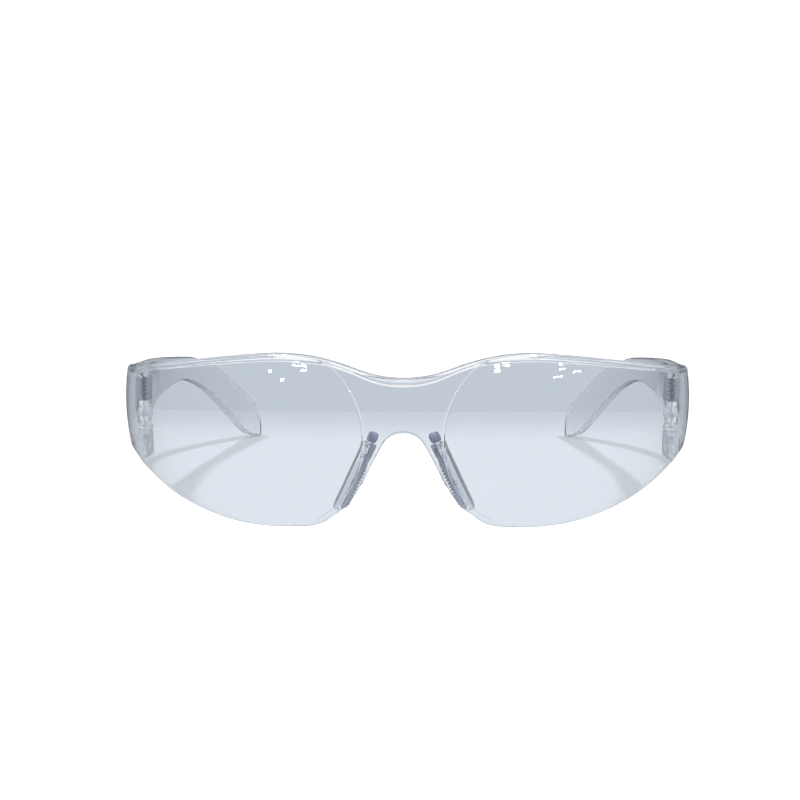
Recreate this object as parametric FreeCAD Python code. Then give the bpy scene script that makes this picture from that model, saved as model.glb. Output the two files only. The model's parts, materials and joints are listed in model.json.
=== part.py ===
"""Clear wrap-around safety glasses, standing open on the lens's lower edge and the temple tips.

One moulded lens carries the brow rim, the nose flanges and the hinge lugs. Two temples fold
about upright hinge axes, each held by a small screw, and two ribbed pads clip to the flanges.
Millimetres. +Z is up, the front faces -Y, and the wearer's left is +X.
"""
import FreeCAD, Part
import math
import os
from FreeCAD import Vector

# Lens: each eye area is part of a sphere, and a flatter sphere fills in the bridge.
EYE_RADIUS = 59.0           # outer surface
EYE_OFFSET = 14.0           # sphere centre from the mid-plane
EYE_HEIGHT = 26.0           # sphere centre above the table
BRIDGE_RADIUS = 105.0
BRIDGE_HEIGHT = 29.5
BRIDGE_PROUD = 0.35         # bridge apex ahead of the eye spheres
BRIDGE_HALF_SPAN = 24.0     # the bridge sphere is used out to here
LENS_WALL = 2.2
LENS_DEPTH = 46.0           # front of the eye spheres to the side ends
LENS_TOP = 41.2             # highest point of the brow
LENS_LOW_X = 31.0           # where the lower edge meets the table
BRIDGE_TOP = 35.8
ARCH_TOP = 23.3             # nose cut-out
NOSE_HALF = 5.0             # half its width where the arch runs into the sides
NOSE_FOOT = (13.1, 6.4)     # X and Z where its sides turn out to the cheeks
END_TOP = 34.4              # top and bottom of the lens's side ends
END_BOTTOM = 15.0
RIM_HEIGHT = 1.8            # thickened strip along the brow
RIM_EXTRA = 1.6             # how much deeper it is than the lens wall at the front

# Nose flanges: plates behind the nose cut-out, which splay as they go back.
FLANGE_WALL = 1.5
FLANGE_FRONT_Y = 1.0
FLANGE_REAR_Y = 11.0
FLANGE_FRONT_TOP = (6.1, 23.6)      # nose side of the plate, as X and Z
FLANGE_FRONT_LOW = (14.2, 5.4)
FLANGE_REAR_TOP = (7.1, 22.4)
FLANGE_REAR_LOW = (15.6, 4.2)

# Nose pads
PAD_WALL = 1.5
PAD_GAP = 0.05              # between pad and flange
PAD_FRONT_Y = 3.6
PAD_REAR_Y = 10.4
PAD_END_MARGIN = 0.6        # flange left bare at the pad's lower end
PEG_RADIUS = 0.9
PEG_PLACES = (0.28, 0.62)   # along the pad from its top
PEG_PROUD = 0.5             # peg end beyond the flange
RIB_COUNT = 12
RIB_PITCH = 0.8
RIB_WIDTH = 0.4
RIB_PROUD = 0.35
RIB_START = 0.46            # first rib, as a place along the pad

# Hinges
HINGE_INSET = 4.35          # axis inboard of the lens's side ends
HINGE_BEHIND = 2.0          # axis behind the side ends
BARREL_RADIUS = 2.1
LUG_ROOT = 4.5              # how far the lugs' webs reach forward of the axis
LOWER_LUG_ROOT = 9.0
UPPER_LUG_HEIGHT = 2.6
LOWER_LUG_BOTTOM = 11.5
LOWER_LUG_HEIGHT = 6.3
HINGE_GAP = 0.2             # between knuckle and lugs, end to end
SIDE_GAP = 0.3              # between the temple's plate and the lens
RUNNING_GAP = 0.05          # radial, at the screw's plain bore and the pivot nub
NUB_RADIUS = 0.8
NUB_LENGTH = 1.0
CORE_HEIGHTS = (20.2, 24.2)         # grooves that core out the knuckle
CORE_DEPTH = 0.55
CORE_HALF_HEIGHT = 1.5
POCKET_WIDTH = 2.0          # core pocket in the back of the lower lug
POCKET_HEIGHT = 4.0
POCKET_DEPTH = 0.9

# Hinge screws
SCREW_RADIUS = 0.7          # thread crest
SCREW_ROOT_RADIUS = 0.56
SCREW_PILOT_RADIUS = 0.6    # bore in the temple, which the thread bites into
SCREW_LENGTH = 8.0
SCREW_PITCH = 0.6
HEAD_RADIUS = 1.2
HEAD_HEIGHT = 0.9
HEAD_SINK = 0.4             # head top below the lug's top
SLOT_WIDTH = 0.35
SLOT_DEPTH = 0.45

# Temples
ARM_LENGTH = 119.0          # hinge axis to the tip
ARM_WALL = 2.6
PLATE_WALL = 3.2            # at the hinge
PLATE_LENGTH = 10.0
BOW_START = 30.0            # behind the axis, where the arm starts to curve inwards
BOW_RADIUS = 211.0
TIP_TOP = 4.2               # height of the blunt end
OVERRUN = 3.0               # how far cutting shapes pass what they cut

END_FROM_CENTRE = EYE_RADIUS - LENS_DEPTH
HALF_WIDTH = EYE_OFFSET + math.sqrt(EYE_RADIUS ** 2 - END_FROM_CENTRE ** 2)
HINGE_X = HALF_WIDTH - HINGE_INSET
HINGE_Y = LENS_DEPTH + HINGE_BEHIND
UPPER_LUG_BOTTOM = END_TOP - UPPER_LUG_HEIGHT
LOWER_LUG_TOP = LOWER_LUG_BOTTOM + LOWER_LUG_HEIGHT
KNUCKLE_BOTTOM = LOWER_LUG_TOP + HINGE_GAP
KNUCKLE_TOP = UPPER_LUG_BOTTOM - HINGE_GAP
SCREW_TOP = END_TOP - HEAD_SINK
TIP_Y = HINGE_Y + ARM_LENGTH
TO_ORIGIN = Vector(0, -(TIP_Y - BRIDGE_PROUD) / 2, 0)   # centre of the overall box


def box(x_range, y_range, z_range):
    low = Vector(x_range[0], y_range[0], z_range[0])
    size = [r[1] - r[0] for r in (x_range, y_range, z_range)]
    return Part.makeBox(*size, low)


def upright(radius, low, high, x=HINGE_X, y=HINGE_Y):
    """A cylinder about an upright axis, the hinge axis unless told otherwise."""
    return Part.makeCylinder(radius, high - low, Vector(x, y, low))


def mirrored(shape):
    return shape.mirror(Vector(0, 0, 0), Vector(1, 0, 0))


def arcs(points, direction):
    """Arcs through points, each leaving in the direction in which the last one arrived."""
    edges = []
    for start, end in zip(points, points[1:]):
        chord = end - start
        arrival = chord * (2 * direction.dot(chord) / chord.dot(chord)) - direction
        bulge = (direction - arrival) * (chord.Length / (2 * (direction + arrival).Length))
        edges.append(Part.Arc(start, (start + end) / 2 + bulge / 2, end).toShape())
        direction = arrival
    return edges


# ---------------------------------------------------------------- lens

def in_front_view(points):
    return [Vector(x, 0, z) for x, z in points]


def outline():
    """The lens's outline in front view, as a closed wire in the plane Y = 0."""
    side = HALF_WIDTH + OVERRUN
    outward = Vector(1, 0, 0)
    brow = in_front_view([(0, BRIDGE_TOP), (11, BRIDGE_TOP + 2.05), (33, LENS_TOP - 0.2), (side, END_TOP - 0.8)])
    nose = in_front_view([(0, ARCH_TOP), (NOSE_HALF, ARCH_TOP - 3.0), NOSE_FOOT])
    cheek = in_front_view([(LENS_LOW_X, 0), (LENS_LOW_X - 8.5, 0.5), NOSE_FOOT])
    jaw = in_front_view([(LENS_LOW_X, 0), (LENS_LOW_X + 14, 1.9), (LENS_LOW_X + 30, 9.0),
                         (HALF_WIDTH - 5, END_BOTTOM - 2.4), (side, END_BOTTOM + 1.6)])
    half = arcs(brow, outward) + arcs(nose, outward) + arcs(cheek, outward * -1) + arcs(jaw, outward)
    half.append(Part.makeLine(brow[-1], jaw[-1]))
    return Part.Wire(Part.__sortEdges__(half + [mirrored(edge) for edge in half]))


def outline_prism():
    face = Part.Face(outline())
    front = Vector(0, -OVERRUN, 0)
    return face.translate(front).extrude(Vector(0, LENS_DEPTH + OVERRUN, 0))


def wrapped_body(inset):
    """The solid behind the lens's outer surface moved in by inset."""
    eyes = [Part.makeSphere(EYE_RADIUS - inset, Vector(side * EYE_OFFSET, EYE_RADIUS, EYE_HEIGHT))
            for side in (-1, 1)]
    bridge_centre = Vector(0, BRIDGE_RADIUS - BRIDGE_PROUD, BRIDGE_HEIGHT)
    bridge = Part.makeSphere(BRIDGE_RADIUS - inset, bridge_centre)
    span = (-BRIDGE_HALF_SPAN, BRIDGE_HALF_SPAN)
    bridge = bridge.common(box(span, (-OVERRUN, EYE_RADIUS), (-OVERRUN, LENS_TOP + OVERRUN)))
    return eyes[0].fuse([eyes[1], bridge])


def flange_line(y):
    """The nose side of the +X flange at depth y: its top and bottom points and its normal."""
    share = (y - FLANGE_FRONT_Y) / (FLANGE_REAR_Y - FLANGE_FRONT_Y)
    ends = []
    for front, rear in ((FLANGE_FRONT_TOP, FLANGE_REAR_TOP), (FLANGE_FRONT_LOW, FLANGE_REAR_LOW)):
        x, z = (a + (b - a) * share for a, b in zip(front, rear))
        ends.append(Vector(x, y, z))
    along = (ends[1] - ends[0]).normalize()
    return ends[0], ends[1], Vector(-along.z, 0, along.x)


def strip(y, near, far, low_margin=0.0):
    """A cross-section of the flange or pad at depth y, between two distances from the line."""
    top, low, normal = flange_line(y)
    low = low + (top - low).normalize() * low_margin
    corners = [top + normal * near, low + normal * near, low + normal * far, top + normal * far]
    return Part.makePolygon(corners + corners[:1])


def peg(radius, near, far):
    """Pegs, or the holes for them, through the +X flange from near to far of its nose side."""
    top, low, normal = flange_line((PAD_FRONT_Y + PAD_REAR_Y) / 2)
    return [Part.makeCylinder(radius, far - near, top + (low - top) * place + normal * near, normal)
            for place in PEG_PLACES]


def flange(outer):
    sections = [strip(y, 0, FLANGE_WALL) for y in (FLANGE_FRONT_Y - OVERRUN, FLANGE_REAR_Y)]
    plate = Part.makeLoft(sections, True, True).common(outer)
    return plate.cut(peg(PEG_RADIUS + RUNNING_GAP, -OVERRUN, FLANGE_WALL + OVERRUN))


def lug(low, high, root):
    """One +X hinge lug: a barrel about the axis and a web forward to the lens's side wall."""
    web_x = (HINGE_X - BARREL_RADIUS, HINGE_X + BARREL_RADIUS)
    web = box(web_x, (HINGE_Y - root, HINGE_Y), (low, high))
    return upright(BARREL_RADIUS, low, high).fuse(web)


def screw_seat():
    """What the +X upper lug loses for the screw: a plain bore and a recess for the head."""
    bore = upright(SCREW_RADIUS + RUNNING_GAP, UPPER_LUG_BOTTOM - OVERRUN, END_TOP + OVERRUN)
    recess = upright(HEAD_RADIUS + RUNNING_GAP, SCREW_TOP - HEAD_HEIGHT - HINGE_GAP / 2, END_TOP + OVERRUN)
    return [bore, recess]


def lower_lug_cuts():
    dimple_depth = NUB_LENGTH - HINGE_GAP + RUNNING_GAP
    dimple = upright(NUB_RADIUS + RUNNING_GAP, LOWER_LUG_TOP - dimple_depth, LOWER_LUG_TOP + OVERRUN)
    middle = LOWER_LUG_BOTTOM + (LOWER_LUG_HEIGHT - NUB_LENGTH) / 2
    back = HINGE_Y + BARREL_RADIUS
    pocket = box((HINGE_X - POCKET_WIDTH / 2, HINGE_X + POCKET_WIDTH / 2), (back - POCKET_DEPTH, back + OVERRUN),
                 (middle - POCKET_HEIGHT / 2, middle + POCKET_HEIGHT / 2))
    return [dimple, pocket]


def lens():
    prism = outline_prism()
    outer, inner = wrapped_body(0), wrapped_body(LENS_WALL)
    shell = outer.cut(inner).common(prism)
    rim_strip = prism.cut(prism.translated(Vector(0, 0, -RIM_HEIGHT)))
    rim = outer.cut(inner.translated(Vector(0, RIM_EXTRA, 0))).common(rim_strip)
    upper = lug(UPPER_LUG_BOTTOM, END_TOP - HEAD_SINK / 2, LUG_ROOT).common(outer).cut(screw_seat())
    lower = lug(LOWER_LUG_BOTTOM, LOWER_LUG_TOP, LOWER_LUG_ROOT).common(outer).cut(lower_lug_cuts())
    half = [flange(outer), upper, lower]
    return shell.fuse([rim] + half + [mirrored(piece) for piece in half]).removeSplitter()


# ---------------------------------------------------------------- temples

def arm_plan(wall, length):
    """The +X arm in plan: straight past the hinge, then bowed inwards. A face at Z = 0."""
    front, straight = LENS_DEPTH + SIDE_GAP, HINGE_Y + BOW_START
    turn = math.asin((length - BOW_START) / BOW_RADIUS)

    def on_bow(radius, angle):
        centre_x = HALF_WIDTH - BOW_RADIUS
        return Vector(centre_x + radius * math.cos(angle), straight + radius * math.sin(angle), 0)

    inner = BOW_RADIUS - wall
    outside = Part.Arc(on_bow(BOW_RADIUS, 0), on_bow(BOW_RADIUS, turn / 2), on_bow(BOW_RADIUS, turn))
    inside = Part.Arc(on_bow(inner, turn), on_bow(inner, turn / 2), on_bow(inner, 0))
    start = [Vector(HALF_WIDTH - wall, front, 0), Vector(HALF_WIDTH, front, 0)]
    edges = [Part.makeLine(start[0], start[1]), Part.makeLine(start[1], on_bow(BOW_RADIUS, 0)),
             outside.toShape(), Part.makeLine(on_bow(BOW_RADIUS, turn), on_bow(inner, turn)),
             inside.toShape(), Part.makeLine(on_bow(inner, 0), start[0])]
    return Part.Face(Part.Wire(edges))


def arm_side():
    """The arm in side view, as distance behind the axis and height: a face at X = 0."""
    front = LENS_DEPTH + SIDE_GAP - HINGE_Y
    upper = [(front, END_TOP), (ARM_LENGTH - 49, END_TOP - 4.2), (ARM_LENGTH - 22, 22.2),
             (ARM_LENGTH - 8, 14.0), (ARM_LENGTH - 2, 9.2), (ARM_LENGTH, TIP_TOP)]
    lower = [(ARM_LENGTH, 0), (ARM_LENGTH - 6, 0.9), (ARM_LENGTH - 13, 4.4), (ARM_LENGTH - 21, 10.0),
             (ARM_LENGTH - 32, 16.5), (ARM_LENGTH - 49, 22.8), (ARM_LENGTH - 67, 24.4), (30, 22.6),
             (13, LOWER_LUG_BOTTOM + 4.1), (3, LOWER_LUG_BOTTOM)]
    upper, lower = ([Vector(0, HINGE_Y + s, z) for s, z in line] for line in (upper, lower))
    corner = Vector(0, HINGE_Y + front, LOWER_LUG_BOTTOM)
    edges = arcs(upper, Vector(0, 1, -0.026).normalize()) + [Part.makeLine(upper[-1], lower[0])]
    edges += arcs(lower, Vector(0, -1, 0))
    edges += [Part.makeLine(lower[-1], corner), Part.makeLine(corner, upper[0])]
    return Part.Face(Part.Wire(edges))


def lug_clearance():
    """Room in the +X temple around the two lugs: the upper one keeps an outer cheek."""
    reach = BARREL_RADIUS + SIDE_GAP
    slot = box((HINGE_X - reach, HINGE_X + reach), (LENS_DEPTH - OVERRUN, HINGE_Y),
               (UPPER_LUG_BOTTOM - HINGE_GAP, END_TOP + OVERRUN))
    round_part = upright(reach, UPPER_LUG_BOTTOM - HINGE_GAP, END_TOP + OVERRUN)
    notch = box((HINGE_X - reach, HALF_WIDTH + OVERRUN), (LENS_DEPTH - OVERRUN, HINGE_Y + reach),
                (-OVERRUN, LOWER_LUG_TOP + HINGE_GAP))
    return [slot, round_part, notch]


def knuckle():
    """The +X temple's barrel, cored by V grooves, with the pivot nub below it."""
    barrel = upright(BARREL_RADIUS, KNUCKLE_BOTTOM, KNUCKLE_TOP)
    for height in CORE_HEIGHTS:
        groove = [Vector(HINGE_X + BARREL_RADIUS + depth, HINGE_Y, height + rise)
                  for depth, rise in ((-CORE_DEPTH, 0), (CORE_DEPTH, 2 * CORE_HALF_HEIGHT),
                                      (CORE_DEPTH, -2 * CORE_HALF_HEIGHT), (-CORE_DEPTH, 0))]
        ring = Part.Face(Part.makePolygon(groove)).revolve(Vector(HINGE_X, HINGE_Y, 0), Vector(0, 0, 1), 360)
        barrel = barrel.cut(ring)
    return barrel.fuse(upright(NUB_RADIUS, KNUCKLE_BOTTOM - NUB_LENGTH, KNUCKLE_BOTTOM))


def temple():
    tall = Vector(0, 0, LENS_TOP)
    arm = arm_plan(ARM_WALL, ARM_LENGTH + OVERRUN).extrude(tall)
    plate = box((HALF_WIDTH - PLATE_WALL, HALF_WIDTH), (LENS_DEPTH + SIDE_GAP, HINGE_Y + PLATE_LENGTH), (0, LENS_TOP))
    side = arm_side().extrude(Vector(HALF_WIDTH + OVERRUN, 0, 0))
    crown_axis = Vector(HALF_WIDTH - EYE_RADIUS, 0, EYE_HEIGHT)
    crown = Part.makeCylinder(EYE_RADIUS, TIP_Y + OVERRUN, crown_axis, Vector(0, 1, 0))
    body = arm.fuse(plate).common(side).common(crown)
    body = body.cut(lug_clearance()).fuse(knuckle()).removeSplitter()
    return body.cut(upright(SCREW_PILOT_RADIUS, SCREW_TOP - SCREW_LENGTH - SCREW_PITCH, END_TOP + OVERRUN))


# ---------------------------------------------------------------- screws and pads

def screw():
    """The +X hinge screw: slotted head, threads as rings, and a pointed end."""
    tip, neck = SCREW_TOP - SCREW_LENGTH, SCREW_TOP - HEAD_HEIGHT
    profile = [(0, tip), (SCREW_ROOT_RADIUS, tip + SCREW_PITCH)]
    turns = int((neck - tip - 2 * SCREW_PITCH) / SCREW_PITCH)
    for turn in range(turns):
        root = tip + SCREW_PITCH * (turn + 1)
        profile += [(SCREW_RADIUS, root + SCREW_PITCH / 2), (SCREW_ROOT_RADIUS, root + SCREW_PITCH)]
    profile += [(SCREW_ROOT_RADIUS, neck), (HEAD_RADIUS, neck), (HEAD_RADIUS, SCREW_TOP), (0, SCREW_TOP)]
    points = [Vector(HINGE_X + r, HINGE_Y, z) for r, z in profile]
    body = Part.Face(Part.makePolygon(points + points[:1])).revolve(points[0], Vector(0, 0, 1), 360)
    long, short = HEAD_RADIUS + OVERRUN, SLOT_WIDTH / 2
    slot = box((HINGE_X - long, HINGE_X + long), (HINGE_Y - short, HINGE_Y + short),
               (SCREW_TOP - SLOT_DEPTH, SCREW_TOP + OVERRUN))
    return body.cut(slot)


def nose_pad():
    """The +X pad: a plate against the flange's nose side, ribbed below, with two pegs."""
    near, far = -PAD_GAP - PAD_WALL, -PAD_GAP
    sections = [strip(y, near, far, PAD_END_MARGIN) for y in (PAD_FRONT_Y, PAD_REAR_Y)]
    behind_lens = wrapped_body(LENS_WALL + PAD_GAP)
    body = Part.makeLoft(sections, True, True).common(behind_lens)
    body = body.fuse(peg(PEG_RADIUS, far - PAD_WALL / 2, FLANGE_WALL + PEG_PROUD))
    top, low, normal = flange_line((PAD_FRONT_Y + PAD_REAR_Y) / 2)
    along = (low - top).normalize()
    first = top + along * (low - top).Length * RIB_START + normal * (near - RIB_PROUD)
    first.y = PAD_FRONT_Y + RIB_WIDTH
    depth = Vector(0, PAD_REAR_Y - PAD_FRONT_Y - 2 * RIB_WIDTH, 0)
    for index in range(RIB_COUNT):
        corner = first + along * RIB_PITCH * index
        inward = normal * (RIB_PROUD + PAD_WALL / 2)
        ends = [corner, corner + along * RIB_WIDTH, corner + along * RIB_WIDTH + inward, corner + inward]
        rib = Part.Face(Part.makePolygon(ends + ends[:1])).extrude(depth)
        body = body.fuse(rib.common(behind_lens))
    return body.removeSplitter()


def export(name, shape):
    shape.translated(TO_ORIGIN).exportStep("parts/" + name + ".step")


os.makedirs("parts", exist_ok=True)
export("lens", lens())
for piece, maker in (("temple", temple), ("hinge_screw", screw), ("nose_pad", nose_pad)):
    left = maker()
    export(piece + "_left", left)
    export(piece + "_right", mirrored(left))
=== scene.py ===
"""Clear wrap-around safety glasses on a pale floor, seen from the front and a little above."""
import json
import math
import bpy
import bmesh
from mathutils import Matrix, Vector


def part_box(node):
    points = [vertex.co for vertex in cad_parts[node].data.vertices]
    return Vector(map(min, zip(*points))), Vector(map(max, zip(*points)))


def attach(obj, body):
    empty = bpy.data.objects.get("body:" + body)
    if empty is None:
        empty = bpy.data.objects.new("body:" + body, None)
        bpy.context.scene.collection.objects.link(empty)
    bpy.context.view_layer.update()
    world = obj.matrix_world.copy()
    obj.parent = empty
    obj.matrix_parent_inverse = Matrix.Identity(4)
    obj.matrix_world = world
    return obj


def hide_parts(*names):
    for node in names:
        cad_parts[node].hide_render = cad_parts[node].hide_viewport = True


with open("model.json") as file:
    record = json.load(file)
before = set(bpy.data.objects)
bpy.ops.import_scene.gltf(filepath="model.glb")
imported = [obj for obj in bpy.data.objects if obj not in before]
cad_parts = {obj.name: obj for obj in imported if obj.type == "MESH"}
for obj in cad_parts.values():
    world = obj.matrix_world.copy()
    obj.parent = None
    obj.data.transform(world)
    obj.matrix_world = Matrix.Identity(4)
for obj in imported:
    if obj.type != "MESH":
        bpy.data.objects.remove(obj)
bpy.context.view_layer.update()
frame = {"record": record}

MM = 0.001

# The shapes below are worked out in millimetres with Y = 0 at the front of the eye areas, as in
# the construction model. Its sizes are repeated here, and its places are read from the frame.
# Only the +X side is described. The other one is its mirror image.
EYE_RADIUS, EYE_OFFSET, EYE_HEIGHT = 59.0, 14.0, 26.0
BRIDGE_RADIUS, BRIDGE_HEIGHT, BRIDGE_PROUD = 105.0, 29.5, 0.35
BRIDGE_HALF_SPAN = 26.0
LENS_WALL, LENS_DEPTH = 2.2, 46.0
RIM_HEIGHT, RIM_EXTRA = 1.8, 1.6
LENS_TOP, BRIDGE_TOP, ARCH_TOP = 41.2, 35.8, 23.3
END_TOP, END_BOTTOM = 34.4, 15.0
NOSE_FOOT = (13.1, 6.4)
LENS_LOW_X = 31.0           # where the lens reaches lowest
HALF_WIDTH = EYE_OFFSET + math.sqrt(EYE_RADIUS ** 2 - (EYE_RADIUS - LENS_DEPTH) ** 2)
BLEND = 0.06                # how softly the eye areas run into the bridge
BEAD_HALF, BEAD_RISE = 0.35, 0.10   # the fine raised line along that crease

FRONT_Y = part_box("lens")[0].y / MM + BRIDGE_PROUD
JOINTS = {joint["name"]: joint for joint in frame["record"]["behaviour"]["joints"]}
HINGE_X = JOINTS["fold_left"]["pos_m"][0] / MM
HINGE_Y = JOINTS["fold_left"]["pos_m"][1] / MM - FRONT_Y
BARREL_RADIUS = 2.1
OVERRUN = 3.0               # how far a cutting tool passes the faces that it leaves open


def place(point, side=1):
    """Millimetres in the shape's own frame to metres in the shared frame; side -1 mirrors."""
    return Vector((side * point[0], point[1] + FRONT_Y, point[2])) * MM


# ---------------------------------------------------------------- mesh helpers

def mesh_object(name, verts, faces):
    mesh = bpy.data.meshes.new(name)
    mesh.from_pydata([tuple(v) for v in verts], [], faces)
    bm = bmesh.new()
    bm.from_mesh(mesh)
    bmesh.ops.recalc_face_normals(bm, faces=bm.faces)
    bm.to_mesh(mesh)
    bm.free()
    piece = bpy.data.objects.new(name, mesh)
    bpy.context.scene.collection.objects.link(piece)
    return piece


def loft(name, loops, side=1):
    """A closed solid through rings of equally many points, with its two ends filled."""
    count = len(loops[0])
    verts = [place(p, side) for loop in loops for p in loop]
    faces = [list(range(count)), list(range(len(verts) - count, len(verts)))]
    for ring in range(len(loops) - 1):
        for i in range(count):
            j = (i + 1) % count
            a, b = ring * count, (ring + 1) * count
            faces.append([a + i, a + j, b + j, b + i])
    return mesh_object(name, verts, faces)


def rounded(corners, steps=6):
    """A polygon given as (x, y, radius) corners, with each corner turned into an arc."""
    points = []
    for index, (x, y, radius) in enumerate(corners):
        here = Vector((x, y))
        before = Vector(corners[index - 1][:2]) - here
        after = Vector(corners[(index + 1) % len(corners)][:2]) - here
        before.normalize()
        after.normalize()
        half = before.angle(after) / 2
        if radius <= 0:
            points.append(here)
            continue
        start, end = here + before * radius / math.tan(half), here + after * radius / math.tan(half)
        centre = here + (before + after).normalized() * radius / math.sin(half)
        for step in range(steps + 1):
            share = step / steps
            spoke = (start - centre).lerp(end - centre, share)
            points.append(centre + spoke.normalized() * radius)
    return points


def inset(outline, distance):
    """A closed outline moved inwards; it runs anticlockwise."""
    moved = []
    for index, point in enumerate(outline):
        ahead = (outline[(index + 1) % len(outline)] - point).normalized()
        behind = (point - outline[index - 1]).normalized()
        inward = Vector((-ahead.y - behind.y, ahead.x + behind.x))
        inward *= 2 / max(inward.length_squared, 0.5)
        moved.append(point + inward * distance)
    return moved


def quarter_turn(steps, first=0):
    """The angles that divide a quarter turn into equal steps."""
    return [math.pi / 2 * step / steps for step in range(first, steps + 1)]


def in_plan(x, y, z):
    """For a plate whose outline is seen from above."""
    return x, y, z


def in_front_view(x, z, y):
    """For a plate whose outline is seen from the front."""
    return x, y, z


def plate(name, outline, low, high, radius, to_space, side=1, steps=4):
    """A plate with rounded edges: outline in its plane, low to high through its thickness."""
    rings = [(radius * (1 - math.sin(turn)), low + radius * (1 - math.cos(turn)))
             for turn in quarter_turn(steps)]
    rings += [(shrink, low + high - level) for shrink, level in reversed(rings)]
    loops = [[to_space(p.x, p.y, level) for p in inset(outline, shrink)] for shrink, level in rings]
    return loft(name, loops, side)


def combine(base, tools, operation="UNION"):
    """base with each tool added or cut away; the tools are used up."""
    for tool in tools:
        cut = base.modifiers.new("combine", "BOOLEAN")
        cut.operation, cut.solver, cut.object = operation, "EXACT", tool
        graph = bpy.context.evaluated_depsgraph_get()
        mesh = bpy.data.meshes.new_from_object(base.evaluated_get(graph))
        base.modifiers.clear()
        base.data = mesh
        bpy.data.objects.remove(tool)
    return base


def smooth(piece, angle=32):
    """Smooth shading, except across edges sharper than an angle in degrees."""
    piece.data.shade_smooth()
    piece.data.set_sharp_from_angle(angle=math.radians(angle))


def arc_path(points, direction, steps=16):
    """Points along arcs that join the given ones, each arc leaving as the last one arrived."""
    heading = math.atan2(direction[1], direction[0])
    path = [tuple(points[0])]
    for start, end in zip(points, points[1:]):
        chord = Vector((end[0] - start[0], end[1] - start[1]))
        turn = math.remainder(math.atan2(chord.y, chord.x) - heading, math.tau)
        for step in range(1, steps + 1):
            share = step / steps
            reach = chord.length * (math.sin(turn * share) / math.sin(turn) if abs(turn) > 1e-6 else share)
            path.append((start[0] + reach * math.cos(heading + turn * share),
                         start[1] + reach * math.sin(heading + turn * share)))
        heading += 2 * turn
    return path


def along(path, x):
    """Height of a left-to-right path at x."""
    for (x0, z0), (x1, z1) in zip(path, path[1:]):
        if x <= x1:
            return z0 + (z1 - z0) * (x - x0) / max(x1 - x0, 1e-9)
    return path[-1][1]


def ease(value):
    """0 to 1 with a soft start and end."""
    value = min(max(value, 0.0), 1.0)
    return value * value * (3 - 2 * value)


def fillet_drop(distance, radius):
    """How far a rounded corner falls below the corner's line at a distance from its end."""
    if distance >= radius:
        return 0.0
    return radius - math.sqrt(max(radius ** 2 - (radius - distance) ** 2, 0))


# ---------------------------------------------------------------- lens

SIDE_X = HALF_WIDTH + 3.0   # the outlines run on past the side ends
BROW = arc_path([(0, BRIDGE_TOP), (11, BRIDGE_TOP + 2.05), (33, LENS_TOP - 0.2), (SIDE_X, END_TOP - 0.8)],
                (1, 0))
NOSE = arc_path([(0, ARCH_TOP), (5.0, ARCH_TOP - 3.0), NOSE_FOOT], (1, 0))
CHEEK = arc_path([(LENS_LOW_X, 0), (LENS_LOW_X - 8.5, 0.5), NOSE_FOOT], (-1, 0))
JAW = arc_path([(LENS_LOW_X, 0), (LENS_LOW_X + 14, 1.9), (LENS_LOW_X + 30, 9.0),
                (HALF_WIDTH - 5, END_BOTTOM - 2.4), (SIDE_X, END_BOTTOM + 1.6)], (1, 0))
LOWER = NOSE + CHEEK[::-1][1:] + JAW[1:]

BROW_FRONT_RADIUS, EDGE_RADIUS, END_CORNER_RADIUS = 0.9, 0.45, 1.2
RIM_FADE = 0.5              # height over which the brow's rim thins to the lens's wall
SKIN = 0.5                  # the raised line is only on the surface, down to this depth
SIDE_ARC = EYE_RADIUS * (math.acos((EYE_RADIUS - LENS_DEPTH) / EYE_RADIUS)
                         - math.asin((BRIDGE_HALF_SPAN - EYE_OFFSET) / EYE_RADIUS))
CREASE_LIMIT, CREASE_STEP = 20.9, 0.25
BRIDGE_COLUMNS, BEAD_COLUMNS, EYE_COLUMNS, SIDE_COLUMNS = 36, 5, 40, 110


def eye_front(x, z, depth=0.0):
    """Depth in Y of the +X eye area's surface, or of the surface a given depth inside it."""
    return EYE_RADIUS - math.sqrt((EYE_RADIUS - depth) ** 2 - (x - EYE_OFFSET) ** 2
                                  - (z - EYE_HEIGHT) ** 2)


def bridge_front(x, z, depth=0.0):
    """The same for the bridge."""
    centre = BRIDGE_RADIUS - BRIDGE_PROUD
    return centre - math.sqrt((BRIDGE_RADIUS - depth) ** 2 - x ** 2 - (z - BRIDGE_HEIGHT) ** 2)


def find_crease(z):
    """X where the eye area meets the bridge."""
    low, high = 2.0, CREASE_LIMIT
    for _ in range(40):
        middle = (low + high) / 2
        if eye_front(middle, z) > bridge_front(middle, z):
            low = middle
        else:
            high = middle
    return low


CREASE = [find_crease(index * CREASE_STEP) for index in range(round(LENS_TOP / CREASE_STEP) + 4)]


def crease_x(z):
    """X of the crease at a height, from the table above."""
    spot = min(max(z / CREASE_STEP, 0), len(CREASE) - 1.001)
    index = int(spot)
    return CREASE[index] + (CREASE[index + 1] - CREASE[index]) * (spot - index)


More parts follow.
